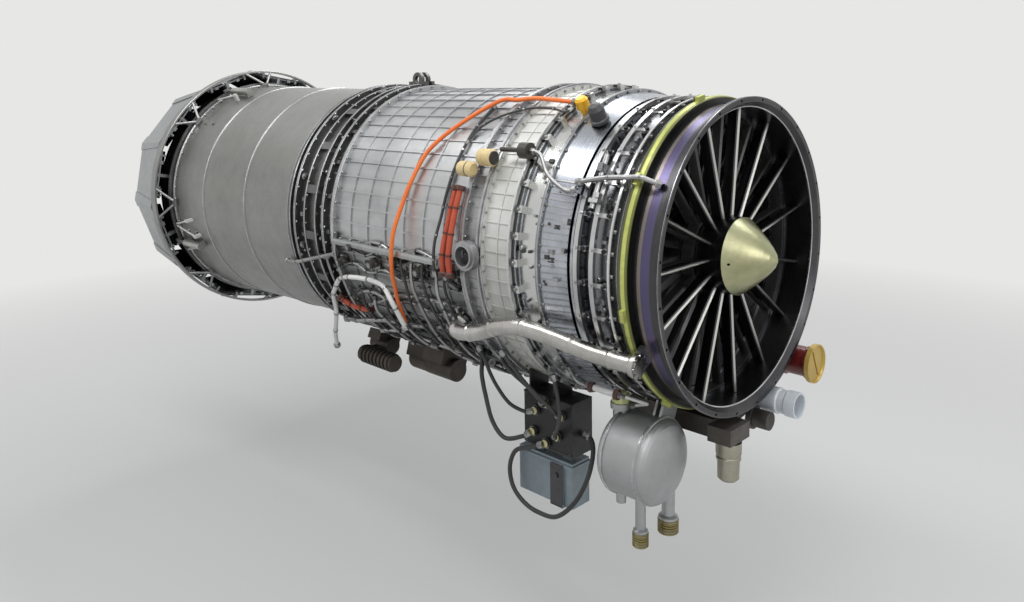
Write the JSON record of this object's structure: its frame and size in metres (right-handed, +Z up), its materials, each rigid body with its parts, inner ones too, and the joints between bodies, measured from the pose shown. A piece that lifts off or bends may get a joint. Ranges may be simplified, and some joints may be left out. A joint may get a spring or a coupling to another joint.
{
  "type": "jet engine",
  "caption": "Afterburning turbofan with open inlet, fan, ribbed bypass ducts, under-slung accessories and a variable flap nozzle.",
  "frame": {"origin": "centre of the inlet flange's front face", "axes": "+X forward out of the inlet along the engine axis, +Z up, -Y the side with the oil tank's filler cap"},
  "size_m": [2.5977, 0.988, 1.206],
  "materials": {
    "front_frame": "heat-tinted satin",
    "nose_cone": "satin pale green-gold",
    "fan_case": "bright machined",
    "stator_vanes": "satin",
    "sealing_band": "satin yellow-green",
    "unison_ring_front": "machined",
    "unison_ring_rear": "machined",
    "vane_rod": "polished",
    "fan_blades": "satin",
    "fan_rotor": "satin",
    "lp_shaft": "ground",
    "core_rotor": "machined",
    "bearings": "ground",
    "mid_frame": "cast and machined",
    "front_duct": "off-white satin",
    "duct_upper": "satin silver-grey",
    "duct_lower": "satin silver-grey",
    "aft_ring": "machined",
    "core_case": "heat-browned",
    "rear_frame": "heat-browned",
    "exhaust_cone": "heat-browned",
    "flame_holder": "heat-browned",
    "burner_liner": "heat-browned",
    "burner_casing": "satin grey",
    "shroud_ring": "satin grey",
    "inner_flaps": "dark heat-tinted",
    "nozzle_actuators": "pale satin",
    "sync_ring": "machined",
    "outer_flap": "pale satin grey",
    "gearbox": "dark cast",
    "oil_tank": "satin grey",
    "filler_cap": "pale yellow-green",
    "control_box": "satin black",
    "control_unit": "blue-grey satin",
    "pumps": "dark cast",
    "filter_bowl": "grey-tan satin",
    "outlet_tube": "translucent white",
    "air_port": "dark red gloss",
    "protective_caps": "gold and yellow",
    "bleed_duct": "polished tube",
    "igniter_cans": "cream satin",
    "orange_cable": "matt orange sheath",
    "white_hose": "white sleeve",
    "sleeved_hoses": "orange-red sleeve",
    "pipes": "drawn tube",
    "harness": "black braid",
    "dome_unit": "grey-black",
    "fasteners": "machined",
    "burner_control": "dark cast"
  },
  "bodies": {
    "engine": {"front_frame": "front_frame", "nose_cone": "nose_cone", "fan_case": "fan_case", "stator_vanes": "stator_vanes", "sealing_band": "sealing_band", "bearings": "bearings", "mid_frame": "mid_frame", "front_duct": "front_duct", "duct_upper": "duct_upper", "duct_lower": "duct_lower", "aft_ring": "aft_ring", "core_case": "core_case", "rear_frame": "rear_frame", "exhaust_cone": "exhaust_cone", "flame_holder": "flame_holder", "burner_liner": "burner_liner", "burner_casing": "burner_casing", "shroud_ring": "shroud_ring", "inner_flaps": "inner_flaps", "nozzle_actuators": "nozzle_actuators", "gearbox": "gearbox", "oil_tank": "oil_tank", "control_box": "control_box", "control_unit": "control_unit", "pumps": "pumps", "filter_bowl": "filter_bowl", "outlet_tube": "outlet_tube", "air_port": "air_port", "protective_caps": "protective_caps", "bleed_duct": "bleed_duct", "igniter_cans": "igniter_cans", "orange_cable": "orange_cable", "white_hose": "white_hose", "sleeved_hoses": "sleeved_hoses", "pipes": "pipes", "harness": "harness", "dome_unit": "dome_unit", "fasteners": "fasteners", "burner_control": "burner_control"},
    "lp_rotor": {"fan_blades": "fan_blades", "fan_rotor": "fan_rotor", "lp_shaft": "lp_shaft"},
    "core_rotor": {"core_rotor": "core_rotor"},
    "front_ring": {"unison_ring_front": "unison_ring_front"},
    "rear_ring": {"unison_ring_rear": "unison_ring_rear"},
    "vane_rod": {"vane_rod": "vane_rod"},
    "nozzle_ring": {"sync_ring": "sync_ring"},
    "filler_cap": {"filler_cap": "filler_cap"},
    "flap_01": {"outer_flap_01": "outer_flap"},
    "flap_02": {"outer_flap_02": "outer_flap"},
    "flap_03": {"outer_flap_03": "outer_flap"},
    "flap_04": {"outer_flap_04": "outer_flap"},
    "flap_05": {"outer_flap_05": "outer_flap"},
    "flap_06": {"outer_flap_06": "outer_flap"},
    "flap_07": {"outer_flap_07": "outer_flap"},
    "flap_08": {"outer_flap_08": "outer_flap"},
    "flap_09": {"outer_flap_09": "outer_flap"},
    "flap_10": {"outer_flap_10": "outer_flap"},
    "flap_11": {"outer_flap_11": "outer_flap"},
    "flap_12": {"outer_flap_12": "outer_flap"}
  },
  "joints": [
    {"name": "lp_spin", "type": "hinge", "parent": "engine", "child": "lp_rotor", "pos_m": [-0.2, 0, 0], "axis": [1, 0, 0], "continuous": true},
    {"name": "core_spin", "type": "hinge", "parent": "engine", "child": "core_rotor", "pos_m": [-0.9, 0, 0], "axis": [1, 0, 0], "continuous": true},
    {"name": "vane_ring_turn", "type": "hinge", "parent": "engine", "child": "front_ring", "pos_m": [-0.176, 0, 0], "axis": [1, 0, 0], "range_deg": [-3, 3]},
    {"name": "rear_ring_turn", "type": "hinge", "parent": "engine", "child": "rear_ring", "pos_m": [-0.222, 0, 0], "axis": [1, 0, 0], "range_deg": [-3.05, 3.05]},
    {"name": "vane_rod_slide", "type": "slide", "parent": "engine", "child": "vane_rod", "axis": [0, -0.4384, -0.8988], "range_m": [-0.0206, 0.0206]},
    {"name": "nozzle_ring_slide", "type": "slide", "parent": "engine", "child": "nozzle_ring", "axis": [1, 0, 0], "range_m": [0, 0.0094]},
    {"name": "filler_cap_turn", "type": "hinge", "parent": "engine", "child": "filler_cap", "pos_m": [-0.206, -0.234, -0.34], "axis": [0, 0, 1], "range_deg": [0, 90]},
    {"name": "flap_01_tilt", "type": "hinge", "parent": "engine", "child": "flap_01", "pos_m": [-2.268, -0.45571, 0.08858], "axis": [0, -0.1908, -0.9816], "range_deg": [0, 12.1]},
    {"name": "flap_02_tilt", "type": "hinge", "parent": "engine", "child": "flap_02", "pos_m": [-2.268, -0.43894, -0.15114], "axis": [0, 0.3256, -0.9455], "range_deg": [0, 12.1]},
    {"name": "flap_03_tilt", "type": "hinge", "parent": "engine", "child": "flap_03", "pos_m": [-2.268, -0.30457, -0.35036], "axis": [0, 0.7547, -0.6561], "range_deg": [0, 12.1]},
    {"name": "flap_04_tilt", "type": "hinge", "parent": "engine", "child": "flap_04", "pos_m": [-2.268, -0.08858, -0.45571], "axis": [0, 0.9816, -0.1908], "range_deg": [0, 12.1]},
    {"name": "flap_05_tilt", "type": "hinge", "parent": "engine", "child": "flap_05", "pos_m": [-2.268, 0.15114, -0.43894], "axis": [0, 0.9455, 0.3256], "range_deg": [0, 12.1]},
    {"name": "flap_06_tilt", "type": "hinge", "parent": "engine", "child": "flap_06", "pos_m": [-2.268, 0.35036, -0.30457], "axis": [0, 0.6561, 0.7547], "range_deg": [0, 12.1]},
    {"name": "flap_07_tilt", "type": "hinge", "parent": "engine", "child": "flap_07", "pos_m": [-2.268, 0.45571, -0.08858], "axis": [0, 0.1908, 0.9816], "range_deg": [0, 12.1]},
    {"name": "flap_08_tilt", "type": "hinge", "parent": "engine", "child": "flap_08", "pos_m": [-2.268, 0.43894, 0.15114], "axis": [0, -0.3256, 0.9455], "range_deg": [0, 12.1]},
    {"name": "flap_09_tilt", "type": "hinge", "parent": "engine", "child": "flap_09", "pos_m": [-2.268, 0.30457, 0.35036], "axis": [0, -0.7547, 0.6561], "range_deg": [0, 12.1]},
    {"name": "flap_10_tilt", "type": "hinge", "parent": "engine", "child": "flap_10", "pos_m": [-2.268, 0.08858, 0.45571], "axis": [0, -0.9816, 0.1908], "range_deg": [0, 12.1]},
    {"name": "flap_11_tilt", "type": "hinge", "parent": "engine", "child": "flap_11", "pos_m": [-2.268, -0.15114, 0.43894], "axis": [0, -0.9455, -0.3256], "range_deg": [0, 12.1]},
    {"name": "flap_12_tilt", "type": "hinge", "parent": "engine", "child": "flap_12", "pos_m": [-2.268, -0.35036, 0.30457], "axis": [0, -0.6561, -0.7547], "range_deg": [0, 12.1]}
  ],
  "couplings": [
    {"joint": "rear_ring_turn", "follows": "vane_ring_turn", "ratio": 1},
    {"joint": "vane_rod_slide", "follows": "vane_ring_turn", "m_per_rad": 0.39},
    {"joint": "flap_01_tilt", "follows": "nozzle_ring_slide", "rad_per_m": 22.281},
    {"joint": "flap_02_tilt", "follows": "nozzle_ring_slide", "rad_per_m": 22.281},
    {"joint": "flap_03_tilt", "follows": "nozzle_ring_slide", "rad_per_m": 22.281},
    {"joint": "flap_04_tilt", "follows": "nozzle_ring_slide", "rad_per_m": 22.281},
    {"joint": "flap_05_tilt", "follows": "nozzle_ring_slide", "rad_per_m": 22.281},
    {"joint": "flap_06_tilt", "follows": "nozzle_ring_slide", "rad_per_m": 22.281},
    {"joint": "flap_07_tilt", "follows": "nozzle_ring_slide", "rad_per_m": 22.281},
    {"joint": "flap_08_tilt", "follows": "nozzle_ring_slide", "rad_per_m": 22.281},
    {"joint": "flap_09_tilt", "follows": "nozzle_ring_slide", "rad_per_m": 22.281},
    {"joint": "flap_10_tilt", "follows": "nozzle_ring_slide", "rad_per_m": 22.281},
    {"joint": "flap_11_tilt", "follows": "nozzle_ring_slide", "rad_per_m": 22.281},
    {"joint": "flap_12_tilt", "follows": "nozzle_ring_slide", "rad_per_m": 22.281}
  ]
}
